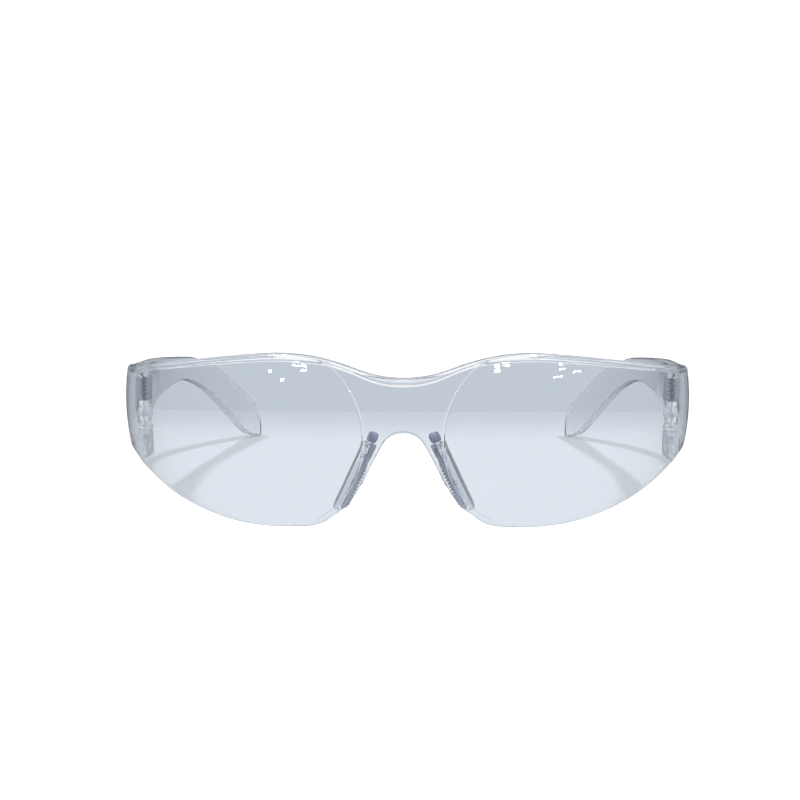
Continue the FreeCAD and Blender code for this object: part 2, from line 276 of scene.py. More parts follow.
def lens_point(column, z, depth):
    """A point of the +X half. A column is (zone, share across it); a crease share is in mm."""
    zone, share = column
    ring = math.sqrt((EYE_RADIUS - depth) ** 2 - (z - EYE_HEIGHT) ** 2)
    outer = math.sqrt(EYE_RADIUS ** 2 - (z - EYE_HEIGHT) ** 2)
    if zone == "side":
        start = math.asin((BRIDGE_HALF_SPAN - EYE_OFFSET) / outer)
        angle = start + share * (math.acos((EYE_RADIUS - LENS_DEPTH) / outer) - start)
        return EYE_OFFSET + ring * math.sin(angle), EYE_RADIUS - ring * math.cos(angle), z
    crease = crease_x(z)
    if zone == "bridge":
        x = (crease - BEAD_HALF) * share
    elif zone == "crease":
        x = crease + share
    else:
        x = crease + BEAD_HALF + (BRIDGE_HALF_SPAN - crease - BEAD_HALF) * share
    off = abs(x - crease)
    if x > EYE_OFFSET:
        x = EYE_OFFSET + (x - EYE_OFFSET) * ring / outer
    eye, bridge = eye_front(x, z, depth), bridge_front(x, z, depth)
    mix = max(BLEND - abs(bridge - eye), 0) / BLEND
    y = min(bridge, eye) - mix * mix * BLEND / 4
    if off < BEAD_HALF and depth < SKIN:
        y -= BEAD_RISE * (1 + math.cos(math.pi * off / BEAD_HALF)) / 2
    return x, y, z


def edge_height(path, column, guess):
    """Where a column of the lens meets an outline, from a first guess."""
    for _ in range(6):
        guess = along(path, lens_point(column, guess, LENS_WALL / 2)[0])
    return guess


def lens_section(column, rows=64):
    """One upright ring round the lens's wall: up its front, over the brow and down its back."""
    top, low = edge_height(BROW, column, 38), edge_height(LOWER, column, 5)
    sideways = lens_point(column, top, 0)[0] - EYE_OFFSET
    turn = math.asin(min(max(sideways / math.sqrt(EYE_RADIUS ** 2 - (top - EYE_HEIGHT) ** 2), 0), 1))
    from_end = (1 - column[1]) * SIDE_ARC if column[0] == "side" else SIDE_ARC
    drop = fillet_drop(from_end, END_CORNER_RADIUS)
    top, low = top - drop, low + drop
    pinch = fillet_drop(from_end, EDGE_RADIUS)
    brow_wall = LENS_WALL + RIM_EXTRA * math.cos(turn)
    front = [(0, low + EDGE_RADIUS + (top - BROW_FRONT_RADIUS - low - EDGE_RADIUS) * row / rows)
             for row in range(rows + 1)]
    over = [(BROW_FRONT_RADIUS * (1 - math.cos(angle)), top - BROW_FRONT_RADIUS * (1 - math.sin(angle)))
            for angle in quarter_turn(5, 1)]
    over += [(brow_wall - EDGE_RADIUS * (1 - math.sin(angle)), top - EDGE_RADIUS * (1 - math.cos(angle)))
             for angle in quarter_turn(4)]
    back = [(brow_wall + (LENS_WALL - brow_wall) * ease(step / 6),
             top - RIM_HEIGHT + RIM_FADE / 2 - RIM_FADE * (step / 6)) for step in range(7)]
    floor = low + EDGE_RADIUS
    start = back[-1][1]
    back += [(LENS_WALL, start + (floor - start) * row / rows) for row in range(1, rows + 1)]
    under = [(LENS_WALL - EDGE_RADIUS * (1 - math.cos(angle)), low + EDGE_RADIUS * (1 - math.sin(angle)))
             for angle in quarter_turn(4, 1)]
    under += [(EDGE_RADIUS * (1 - math.sin(angle)), low + EDGE_RADIUS * (1 - math.cos(angle)))
              for angle in quarter_turn(4)[:-1]]
    ring = []
    for depth, z in front + over + back + under:
        depth = min(max(depth, pinch), brow_wall - pinch)
        if pinch and LENS_WALL / 2 < depth <= LENS_WALL:
            depth = min(depth, LENS_WALL - pinch)
        ring.append(lens_point(column, z, depth))
    return ring


def lens_shell():
    """The lens without its flanges and lugs: upright rings from one side end to the other."""
    columns = [("bridge", step / BRIDGE_COLUMNS) for step in range(BRIDGE_COLUMNS)]
    columns += [("crease", BEAD_HALF * step / BEAD_COLUMNS)
                for step in range(-BEAD_COLUMNS, BEAD_COLUMNS + 1)]
    columns += [("eye", step / EYE_COLUMNS) for step in range(1, EYE_COLUMNS)]
    columns += [("side", step / SIDE_COLUMNS) for step in range(SIDE_COLUMNS)]
    columns += [("side", 1 - gap / SIDE_ARC) for gap in (0.3, 0.14, 0.05, 0)]
    half = [lens_section(column) for column in columns]
    mirror = [[(-x, y, z) for x, y, z in ring] for ring in reversed(half[1:])]
    return loft("clear_lens", mirror + half)


# The flange's nose side: its top and bottom, as X and Z, at its front and its rear.
FLANGE_FRONT = ((6.1, 23.6), (14.2, 5.4))
FLANGE_REAR = ((7.1, 22.4), (15.6, 4.2))
FLANGE_FRONT_Y, FLANGE_REAR_Y, FLANGE_WALL = 1.0, 11.0, 1.5
FLANGE_LENGTH = 20.0        # from its top to its bottom, as its and the pad's outlines count it
FLANGE_ROOT_Y, FLANGE_ROOT_SLANT = 1.9, 2.2   # its front edge, buried in the lens's wall
PEG_PLACES, PEG_Y, PEG_RADIUS, PEG_HOLE_RADIUS = (0.28, 0.62), 7, 0.85, 0.92

KNOB_LENGTH = 2.6           # the pad's thick tip, which hooks over the flange's upper end
KNOB_PROUD = 1.0            # how far it covers the flange's wall
KNOB_SEAM = 0.02            # keeps the milky tip's mesh closed, apart from the clear rest
KNOB_GAP = 0.15             # between the tip and the flange's upper end


def flange_line(y):
    """The top and bottom of the +X flange's nose side at depth y, as X and Z."""
    back = (y - FLANGE_FRONT_Y) / (FLANGE_REAR_Y - FLANGE_FRONT_Y)
    return [Vector(a).lerp(Vector(b), back) for a, b in zip(FLANGE_FRONT, FLANGE_REAR)]


def flange_point(share, y, offset):
    """A point beside the +X flange's nose side: share of the way down it, at depth y."""
    top, low = flange_line(y)
    down = (low - top).normalized()
    spot = top.lerp(low, share) + Vector((-down.y, down.x)) * offset
    return spot.x, y, spot.y


def on_flange(x, y, level):
    """For a plate whose outline is X down the flange and Y backwards."""
    return flange_point(x / FLANGE_LENGTH, y, level)


def peg_outline(place_down, radius):
    """A circle round a peg's place, for a plate on the flange or on the pad."""
    return [Vector((FLANGE_LENGTH * place_down + radius * math.cos(a), PEG_Y + radius * math.sin(a)))
            for a in (math.tau * step / 20 for step in range(20))]


def flange(side):
    upper_end = KNOB_LENGTH + KNOB_GAP
    outline = rounded([(upper_end, FLANGE_ROOT_Y, 0), (FLANGE_LENGTH, FLANGE_ROOT_Y + FLANGE_ROOT_SLANT, 0),
                       (FLANGE_LENGTH, FLANGE_REAR_Y, 2.2), (upper_end, FLANGE_REAR_Y, 1.5)])
    made = plate("flange", outline, 0, FLANGE_WALL, 0.4, on_flange, side)
    for place_down in PEG_PLACES:
        hole = plate("hole", peg_outline(place_down, PEG_HOLE_RADIUS), -0.6, 0.55, 0.05, on_flange, side, 2)
        combine(made, [hole], "DIFFERENCE")
    return made


# Hinge parts, as the heights that they reach between
UPPER_LUG = (31.8, END_TOP - 0.2)
LOWER_LUG = (11.5, 17.8)
KNUCKLE = (18.0, 31.6)
BORE_RADIUS, RECESS_RADIUS, RECESS_FLOOR = 0.75, 1.25, 33.0   # for the screw and its head
DIMPLE_RADIUS, DIMPLE_DEPTH = 0.85, 0.9      # for the nub under the knuckle
POCKET_HALF, POCKET_LOW, POCKET_HIGH, POCKET_DEPTH = 1.1, 12.4, 16.4, 1.0
# The lower lug is cut away outside this line, seen from the front, to follow the lens's corner.
TRIM = ((67.0, 8), (76, 8), (76, 19), (70.2, 19), (69.0, 16.0), (68.0, 13.2), (67.0, 12.0))


def at_hinge(radius, angle, z):
    """A point at an angle round the +X hinge's axis."""
    return HINGE_X + radius * math.cos(angle), HINGE_Y + radius * math.sin(angle), z


def barrel_back(radius):
    """The rear half of a circle about the hinge axis, as an outline in plan."""
    return [Vector(at_hinge(radius, math.pi * step / 16, 0)[:2]) for step in range(17)]


def lug(low, high, front_corners, side):
    """A hinge lug on the lens: a barrel about the axis, joined to the lens's wall in front of it."""
    outline = [Vector(p) for p in front_corners] + barrel_back(BARREL_RADIUS)
    return plate("lug", outline, low, high, 0.3, in_plan, side)


def upright(name, profile, side, segments=40):
    """A turned shape about the hinge axis, from (radius, height) pairs."""
    loops = [[at_hinge(r, math.tau * i / segments, z) for i in range(segments)] for r, z in profile]
    return loft(name, loops, side)


def hinge_lugs(side):
    inner = HINGE_X - BARREL_RADIUS
    upper = lug(*UPPER_LUG, [(inner, HINGE_Y - 4.5), (HINGE_X + 2.6, HINGE_Y - 4.5),
                             (HINGE_X + 2.3, HINGE_Y - 2.2)], side)
    lower = lug(*LOWER_LUG, [(inner, HINGE_Y - 7.5), (inner + 1.8, HINGE_Y - 9),
                             (HINGE_X + 1.6, HINGE_Y - 4)], side)
    bore = upright("bore", [(BORE_RADIUS, UPPER_LUG[0] - 1), (BORE_RADIUS, UPPER_LUG[1] + 1)], side)
    recess = upright("recess", [(RECESS_RADIUS, RECESS_FLOOR), (RECESS_RADIUS, RECESS_FLOOR + 3)], side)
    dimple = upright("dimple", [(DIMPLE_RADIUS, LOWER_LUG[1] - DIMPLE_DEPTH),
                                (DIMPLE_RADIUS, LOWER_LUG[1] + 1)], side)
    pocket_outline = rounded([(HINGE_X + across * POCKET_HALF, z, 0.6) for across, z in (
        (-1, POCKET_LOW), (1, POCKET_LOW), (1, POCKET_HIGH), (-1, POCKET_HIGH))])
    back = HINGE_Y + BARREL_RADIUS
    pocket = plate("pocket", pocket_outline, back - POCKET_DEPTH, back + 1.0, 0.35, in_front_view, side)
    trim = plate("trim", [Vector(p) for p in TRIM], HINGE_Y - 12, HINGE_Y + 4, 0.05, in_front_view, side)
    combine(upper, [bore, recess], "DIFFERENCE")
    combine(lower, [dimple, pocket, trim], "DIFFERENCE")
    return [upper, lower]


def build_lens():
    shell = lens_shell()
    extras = []
    for side in (1, -1):
        extras += [flange(side)] + hinge_lugs(side)
    combine(shell, extras)
    smooth(shell)
    return shell


# ---------------------------------------------------------------- temples

ARM_LENGTH, ARM_WALL, PLATE_WALL = 119.0, 2.6, 3.2
PLATE_END, PLATE_FADE = 14, 6        # where the thick front ends, and over what length it thins
CROWN_START, CROWN_FADE = 12, 22     # the same for its outside's curve, which carries on the lens's
BOW_START, BOW_RADIUS = 30.0, 211.0  # the bow inwards, in plan
ARM_FRONT = LENS_DEPTH + 0.3 - HINGE_Y
ARM_UPPER = arc_path([(ARM_FRONT, END_TOP), (ARM_LENGTH - 49, END_TOP - 4.2), (ARM_LENGTH - 22, 22.2),
                      (ARM_LENGTH - 8, 14.0), (ARM_LENGTH - 2, 9.2), (ARM_LENGTH, 4.2)], (1, -0.026))
ARM_LOWER = arc_path([(ARM_LENGTH, 0), (ARM_LENGTH - 6, 0.9), (ARM_LENGTH - 13, 4.4), (ARM_LENGTH - 21, 10.0),
                      (ARM_LENGTH - 32, 16.5), (ARM_LENGTH - 49, 22.8), (ARM_LENGTH - 67, 24.4), (30, 22.6),
                      (13, LOWER_LUG[0] + 4.1), (3, LOWER_LUG[0])], (-1, 0))[::-1]
ARM_LOWER = [(ARM_FRONT, LOWER_LUG[0])] + ARM_LOWER
ARM_EDGE = 0.7
ARM_STATIONS = 200
END_GAPS = [0.0, 0.06, 0.2, 0.4, 0.7]   # closer stations round its rounded ends
BARREL_GAP, LUG_GAP = 0.3, 0.2          # round and above the lens's lugs
NUB_RADIUS, NUB_LENGTH, KNUCKLE_EDGE = 0.8, 1.0, 0.25
GROOVES, GROOVE_DEPTH, GROOVE_HALF, GROOVE_FLOOR_HALF = (20.2, 24.2), 0.55, 1.5, 0.15
PILOT_RADIUS, PILOT_FLOOR = 0.56, 25.6  # the hole that the screw bites into


def arm_outside(distance):
    """The arm's outer face in plan at a distance behind the hinge: X, Y and its inward normal."""
    bow = max(distance - BOW_START, 0)
    angle = math.asin(bow / BOW_RADIUS)
    x = HALF_WIDTH - BOW_RADIUS * (1 - math.cos(angle))
    return x, HINGE_Y + distance, Vector((-math.cos(angle), -math.sin(angle)))


def arm_section(distance, pinch, rows=18):
    """An upright ring round the arm, pinched towards its middle near a rounded end."""
    x, y, inward = arm_outside(distance)
    top, low = along(ARM_UPPER, distance) - pinch, along(ARM_LOWER, distance) + pinch
    wall = ARM_WALL + (PLATE_WALL - ARM_WALL) * ease((PLATE_END - distance) / PLATE_FADE)
    corner = max(min(ARM_EDGE, (top - low) / 2 - 0.05), 0.05)
    outline = rounded([(pinch, low, corner), (wall - pinch, low, corner),
                       (wall - pinch, top, corner), (pinch, top, corner)])
    side = len(outline) // 4
    ring = []
    for index, point in enumerate(outline):
        ring.append(point)
        if index == 2 * side - 1 or index == 4 * side - 1:
            after = outline[(index + 1) % len(outline)]
            ring += [point.lerp(after, row / rows) for row in range(1, rows)]
    crown_share = 1 - ease((distance - CROWN_START) / CROWN_FADE)
    points = []
    for point in ring:
        depth, z = point
        sag = EYE_RADIUS - math.sqrt(EYE_RADIUS ** 2 - (z - EYE_HEIGHT) ** 2)
        depth += sag * crown_share * (1 - depth / wall)
        spot = Vector((x, y)) + inward * depth
        points.append((spot.x, spot.y, z))
    return points


def build_temple(name, side):
    span = ARM_LENGTH - ARM_FRONT
    stations = [ARM_FRONT + gap for gap in END_GAPS]
    stations += [ARM_FRONT + 1 + (span - 2) * step / ARM_STATIONS for step in range(1, ARM_STATIONS)]
    stations += [ARM_LENGTH - gap for gap in reversed(END_GAPS)]
    loops = []
    for distance in stations:
        from_end = min(distance - ARM_FRONT, ARM_LENGTH - distance)
        loops.append(arm_section(distance, fillet_drop(from_end, ARM_EDGE)))
    arm = loft(name, loops, side)
    reach = BARREL_RADIUS + BARREL_GAP
    inner, outer, front = HINGE_X - reach, HALF_WIDTH + OVERRUN, LENS_DEPTH - OVERRUN
    slot_outline = rounded([(inner, front, 0), (HINGE_X + reach, front, 0)]) + barrel_back(reach)
    slot = plate("slot", slot_outline, UPPER_LUG[0] - LUG_GAP, END_TOP + OVERRUN, 0.05, in_plan, side)
    notch_outline = rounded([(inner, front, 0), (outer, front, 0), (outer, HINGE_Y + reach, 0),
                             (inner, HINGE_Y + reach, 0)])
    notch = plate("notch", notch_outline, 5, LOWER_LUG[1] + LUG_GAP, 0.05, in_plan, side)
    combine(arm, [slot, notch], "DIFFERENCE")
    low, high = KNUCKLE
    r, floor = BARREL_RADIUS, BARREL_RADIUS - GROOVE_DEPTH
    profile = [(NUB_RADIUS, low - NUB_LENGTH), (NUB_RADIUS, low), (r - KNUCKLE_EDGE, low),
               (r, low + KNUCKLE_EDGE)]
    for height in GROOVES:
        profile += [(r, height - GROOVE_HALF), (floor, height - GROOVE_FLOOR_HALF),
                    (floor, height + GROOVE_FLOOR_HALF), (r, height + GROOVE_HALF)]
    profile += [(r, high - KNUCKLE_EDGE), (r - KNUCKLE_EDGE, high)]
    combine(arm, [upright("knuckle", profile, side)])
    combine(arm, [upright("pilot", [(PILOT_RADIUS, PILOT_FLOOR), (PILOT_RADIUS, 40)], side)], "DIFFERENCE")
    smooth(arm, 18)
    return arm


# ---------------------------------------------------------------- screws and pads

SCREW_TIP, SCREW_NECK, SCREW_TOP = 26.0, 33.1, 34.0
THREAD_CREST, THREAD_ROOT, THREAD_PITCH = 0.72, 0.42, 1.0
THREAD_STEEPNESS, THREAD_END, THREAD_FADE = 4.4, 0.3, 0.4
TIP_RADIUS, TIP_LENGTH = 0.12, 0.6
HEAD_RADIUS = 1.2
HEAD_PROFILE = ((THREAD_ROOT + 0.1, SCREW_NECK + 0.02), (HEAD_RADIUS - 0.15, SCREW_NECK + 0.1),
                (HEAD_RADIUS, SCREW_NECK + 0.28), (HEAD_RADIUS, SCREW_TOP - 0.3),
                (HEAD_RADIUS - 0.12, SCREW_TOP - 0.12), (HEAD_RADIUS - 0.35, SCREW_TOP))
SLOT_HALF, SLOT_REACH, SLOT_DEPTH = 0.17, 2, 0.45


def build_screw(name, side):
    segments, rings = 36, 96
    loops = []
    for ring in range(rings + 1):
        z = SCREW_TIP + (SCREW_NECK - SCREW_TIP) * ring / rings
        point = min((z - SCREW_TIP) / TIP_LENGTH, 1)
        fade = ease((SCREW_NECK - THREAD_END - z) / THREAD_FADE)
        loop = []
        for i in range(segments):
            turn = i / segments
            phase = ((z - SCREW_TIP) / THREAD_PITCH - turn) % 1
            ridge = max(1 - abs(phase - 0.5) * THREAD_STEEPNESS, 0) * fade
            r = TIP_RADIUS + (THREAD_ROOT - TIP_RADIUS) * point
            r += (THREAD_CREST - THREAD_ROOT) * ridge * point
            loop.append(at_hinge(r, math.tau * turn, z))
        loops.append(loop)
    loops += [[at_hinge(r, math.tau * i / segments, z) for i in range(segments)] for r, z in HEAD_PROFILE]
    body = loft(name, loops, side)
    outline = rounded([(HINGE_X + across * SLOT_REACH, HINGE_Y + back * SLOT_HALF, 0)
                       for across, back in ((-1, -1), (1, -1), (1, 1), (-1, 1))])
    slot = plate("driver_slot", outline, SCREW_TOP - SLOT_DEPTH, SCREW_TOP + 1, 0.02, in_plan, side)
    combine(body, [slot], "DIFFERENCE")
    smooth(body, 40)
    return body


PAD_WALL, PAD_SLIT = 1.3, 0.25
RIB_COUNT, RIB_START, RIB_PITCH, RIB_WIDTH, RIB_PROUD = 12, 9.0, 0.8, 0.42, 0.22
RIB_FRONT_Y, RIB_SLANT, RIB_REAR_Y = 4.9, 0.14, 9.8


def on_pad(x, y, level):
    """For a plate on the pad: X down it, Y backwards, level from its nose side."""
    return flange_point(x / FLANGE_LENGTH, y, -PAD_WALL - PAD_SLIT + level)


def build_pad(name, side):
    upper_end, rear = KNOB_LENGTH + KNOB_SEAM, 10.3
    outline = rounded([(upper_end, 3.8, 0), (19.4, 6.9, 1.2), (19.4, rear, 1.4), (upper_end, rear, 0)])
    pad = plate(name, outline, 0, PAD_WALL, 0.45, on_pad, side)
    knob = rounded([(0.0, 3.3, 1.2), (KNOB_LENGTH, 3.5, 1.0), (KNOB_LENGTH, 9.6, 1.0), (0.0, 9.6, 1.2)])
    extras = [plate("knob", knob, 0.45, PAD_WALL + PAD_SLIT + KNOB_PROUD, 0.8, on_pad, side, 6)]
    for index in range(RIB_COUNT):
        start, front = RIB_START + RIB_PITCH * index, RIB_FRONT_Y + RIB_SLANT * index
        rib = rounded([(start, front, 0.15), (start + RIB_WIDTH, front, 0.15),
                       (start + RIB_WIDTH, RIB_REAR_Y, 0.15), (start, RIB_REAR_Y, 0.15)], 3)
        extras.append(plate("rib", rib, -RIB_PROUD, 0.5, 0.12, on_pad, side, 2))
    for place_down in PEG_PLACES:
        extras.append(plate("peg", peg_outline(place_down, PEG_RADIUS), PAD_WALL - 0.4,
                            PAD_WALL + PAD_SLIT + 0.45, 0.1, on_pad, side, 2))
    combine(pad, extras)
    smooth(pad)
    return pad


# ---------------------------------------------------------------- materials

def node(material, kind, x=0, **values):
    """A new node of a material or world, with values for its inputs by name."""
    made = material.node_tree.nodes.new(kind)
    made.location = (x, 0)
    for key, value in values.items():
        made.inputs[key.replace("_", " ")].default_value = value
    return made


def new_material(name):
    """A node material, its shader and the call that links its sockets."""
    material = bpy.data.materials.new(name)
    material.use_nodes = True
    return material, material.node_tree.nodes["Principled BSDF"], material.node_tree.links.new


def noise(material, scale, detail):
    """A noise fixed to the object, at a scale per metre."""
    place_in = node(material, "ShaderNodeTexCoord", -900)
    made = node(material, "ShaderNodeTexNoise", -700, Scale=scale, Detail=detail)
    material.node_tree.links.new(place_in.outputs["Object"], made.inputs["Vector"])
    return made


def spread_roughness(material, shader, source, low, high, **limits):
    """Roughness from low to high as a noise goes up."""
    spread = node(material, "ShaderNodeMapRange", -450, To_Min=low, To_Max=high, **limits)
    material.node_tree.links.new(source.outputs["Fac"], spread.inputs["Value"])
    material.node_tree.links.new(spread.outputs["Result"], shader.inputs["Roughness"])


def spread_colour(material, shader, source, dark, pale):
    """Base colour from dark to pale as a noise goes up."""
    ramp = node(material, "ShaderNodeValToRGB", -450)
    ramp.color_ramp.elements[0].color = (*dark, 1)
    ramp.color_ramp.elements[1].color = (*pale, 1)
    material.node_tree.links.new(source.outputs["Fac"], ramp.inputs["Fac"])
    material.node_tree.links.new(ramp.outputs["Color"], shader.inputs["Base Color"])


def lighten_shadow(material, shader, shade):
    """Let this share of the light straight through each wall where the piece casts a shadow."""
    link = material.node_tree.links.new
    paths = node(material, "ShaderNodeLightPath", 300)
    through = node(material, "ShaderNodeBsdfTransparent", 300, Color=(shade, shade, shade, 1))
    choose = node(material, "ShaderNodeMixShader", 500)
    link(paths.outputs["Is Shadow Ray"], choose.inputs[0])
    link(shader.outputs["BSDF"], choose.inputs[1])
    link(through.outputs["BSDF"], choose.inputs[2])
    link(choose.outputs["Shader"], material.node_tree.nodes["Material Output"].inputs["Surface"])


def clear_plastic(name, tint, polish, ripple, shade, depth_tint=(0.45, 0.52, 0.62), density=12.0):
    """Clear polycarbonate: tinted at its surface and through its depth, with a faint moulding
    ripple and patchy fine scuffs. polish is its roughness where it is smooth and where scuffed."""
    material, shader, link = new_material(name)
    shader.inputs["Transmission Weight"].default_value = 1.0
    shader.inputs["IOR"].default_value = 1.586
    shader.inputs["Base Color"].default_value = (*tint, 1)
    haze = noise(material, 180.0, 3.0)
    spread_roughness(material, shader, haze, *polish, From_Min=0.45, From_Max=0.75)
    bump = node(material, "ShaderNodeBump", -450, Strength=ripple, Distance=0.0004)
    link(noise(material, 45.0, 1.0).outputs["Fac"], bump.inputs["Height"])
    link(bump.outputs["Normal"], shader.inputs["Normal"])
    depths = node(material, "ShaderNodeVolumeAbsorption", 500, Color=(*depth_tint, 1), Density=density)
    link(depths.outputs["Volume"], material.node_tree.nodes["Material Output"].inputs["Volume"])
    lighten_shadow(material, shader, shade)
    return material


def milky_plastic(name, colour, mottling=0.08):
    """Soft frosted plastic that lets half of the light through, with a faint mottle."""
    material, shader, _ = new_material(name)
    shader.inputs["Transmission Weight"].default_value = 0.5
    shader.inputs["IOR"].default_value = 1.5
    mottle = noise(material, 900.0, 2.0)
    spread_colour(material, shader, mottle, [part * (1 - mottling) for part in colour],
                  [part * (1 + mottling) for part in colour])
    spread_roughness(material, shader, mottle, 0.35, 0.5)
    lighten_shadow(material, shader, 0.9)
    return material


def steel(name):
    """Dark plated steel with a fine grain."""
    material, shader, _ = new_material(name)
    shader.inputs["Metallic"].default_value = 1.0
    grain = noise(material, 4000.0, 2.0)
    spread_colour(material, shader, grain, (0.06, 0.065, 0.075), (0.20, 0.21, 0.23))
    spread_roughness(material, shader, grain, 0.25, 0.45)
    return material


def paint_faces(piece, material, chosen):
    """Give a second material to the faces whose centre, in the shape's own millimetres, is chosen."""
    piece.data.materials.append(material)
    index = len(piece.data.materials) - 1
    for face in piece.data.polygons:
        x, y, z = face.center / MM
        if chosen(abs(x), y - FRONT_Y, z):
            face.material_index = index


BLOCK_LOW = 25.4            # the upper part of the knuckle, tinted dark as painted shade, starts here


# The faces of the upper knuckle that get the painted shade: a dark tint for the darkness seen there through
# the clear plastic.
def on_hinge_block(x, y, z):
    return z > BLOCK_LOW and math.hypot(x - HINGE_X, y - HINGE_Y) < BARREL_RADIUS + 0.1


def on_pad_knob(x, y, z):
    top, low = flange_line(y)
    return (Vector((x, z)) - top).dot((low - top).normalized()) < KNOB_LENGTH + KNOB_SEAM / 2


# ---------------------------------------------------------------- stage

BACKGROUND = 1.05           # radiance of the white surroundings, seen directly or through plastic
AMBIENT = 0.60              # radiance of the soft studio light from all round
ROOM_LOW, ROOM_HIGH = 0.16, 0.95   # radiance of the room's mirror image, level and overhead
SUN_TILT, SUN_STRENGTH, SUN_SIZE = 20.0, 1.2, 5.0

# The stage's sizes, in metres, and its colours
FLOOR_HALF = 4.0
TENT_HALF, TENT_HEIGHT, TENT_CORNER, TENT_DROP = 0.148, 0.10, 0.03, 0.0001
TENT_FADE = 0.06            # from this far out, painted shade darkens the tent's floor towards its walls
FLOOR_WHITE = (0.98, 0.98, 0.98)
# The tent's floor goes from TENT_NEAR to TENT_FAR: TENT_FAR is the walls' painted shade.
TENT_NEAR, TENT_FAR, TENT_WALL = (0.63, 0.66, 0.70), (0.50, 0.53, 0.57), (0.585, 0.64, 0.70)


def matt(name, colour):
    """A plain matt surface."""
    material, shader, _ = new_material(name)
    shader.inputs["Base Color"].default_value = (*colour, 1)
    shader.inputs["Roughness"].default_value = 0.9
    shader.inputs["Specular IOR Level"].default_value = 0.0
    return material


def paint_wall_shade(material, near, far):
    """Painted shade on a floor: its colour darkens towards the tent's walls, as the walls' shade."""
    link = material.node_tree.links.new
    spot = node(material, "ShaderNodeTexCoord", -900)
    split = node(material, "ShaderNodeSeparateXYZ", -800)
    link(spot.outputs["Object"], split.inputs["Vector"])
    reach = node(material, "ShaderNodeMath", -600)
    reach.operation = "MAXIMUM"
    for index, axis in enumerate("XY"):
        size = node(material, "ShaderNodeMath", -700)
        size.operation = "ABSOLUTE"
        link(split.outputs[axis], size.inputs[0])
        link(size.outputs[0], reach.inputs[index])
    ramp = node(material, "ShaderNodeMapRange", -450, From_Min=TENT_FADE, From_Max=TENT_HALF)
    ramp.interpolation_type = "SMOOTHSTEP"
    link(reach.outputs[0], ramp.inputs["Value"])
    blend = node(material, "ShaderNodeMix", -300)
    blend.data_type = "RGBA"
    blend.inputs[6].default_value = (*near, 1)
    blend.inputs[7].default_value = (*far, 1)
    link(ramp.outputs["Result"], blend.inputs[0])
    link(blend.outputs[2], material.node_tree.nodes["Principled BSDF"].inputs["Base Color"])


def see(surface, **kinds):
    """Which kinds of ray meet a stage surface."""
    for kind in ("camera", "diffuse", "glossy", "transmission", "shadow"):
        setattr(surface, "visible_" + kind, kinds.get(kind, False))


def flat(name, half, height, colour):
    """A level matt square of a given half width."""
    corners = [(x * half, y * half, height) for x, y in ((-1, -1), (1, -1), (1, 1), (-1, 1))]
    made = mesh_object(name, corners, [(0, 1, 2, 3)])
    made.data.materials.append(matt(name, colour))
    return made


def build_stage():
    """A white floor and, met only through the clear plastic, the grey floor and walls of a tent."""
    see(flat("floor", FLOOR_HALF, 0, FLOOR_WHITE), camera=True, diffuse=True)
    tent_floor = flat("tent_floor", FLOOR_HALF, -TENT_DROP, TENT_NEAR)
    # The walls' shade is painted on the tent's floor.
    paint_wall_shade(tent_floor.data.materials[0], TENT_NEAR, TENT_FAR)
    see(tent_floor, transmission=True)
    corners = rounded([(x * TENT_HALF, y * TENT_HALF, TENT_CORNER)
                       for x, y in ((-1, -1), (1, -1), (1, 1), (-1, 1))])
    count = len(corners)
    verts = [(p.x, p.y, z) for z in (-TENT_DROP, TENT_HEIGHT) for p in corners]
    faces = [(i, (i + 1) % count, count + (i + 1) % count, count + i) for i in range(count)]
    tent = mesh_object("tent_walls", verts, faces)
    wall, shader, link = new_material("tent_walls")
    wall.node_tree.nodes.remove(shader)
    glow = node(wall, "ShaderNodeEmission", Color=(*TENT_WALL, 1), Strength=1.0)
    link(glow.outputs[0], wall.node_tree.nodes["Material Output"].inputs["Surface"])
    tent.data.materials.append(wall)
    see(tent, transmission=True)


# Small window-like lamps far in front: azimuth from straight ahead, elevation, width and height,
# all in degrees. The eye areas mirror them as the little bright bars near the brow.
BAR_DISTANCE, BAR_RADIANCE = 4.0, 26.0
BAR_LAMPS = ((-27.4, 20.6, 3.9, 0.8), (-27.1, 18.6, 3.9, 0.9), (-23.0, 18.8, 2.7, 1.5),
             (-22.7, 16.5, 2.7, 1.1), (-40.1, 14.7, 1.9, 1.3), (-33.1, 11.4, 1.8, 1.3),
             (17.4, 19.2, 2.6, 1.6), (17.2, 17.0, 2.8, 1.6), (22.3, 21.5, 3.2, 0.5),
             (22.1, 20.4, 3.2, 0.5), (22.0, 19.1, 3.5, 0.7), (50.8, 16.9, 1.8, 1.0),
             (51.2, 14.7, 3.4, 0.7), (58.8, 12.7, 4.3, 0.8), (48.1, 11.6, 5.0, 0.7))


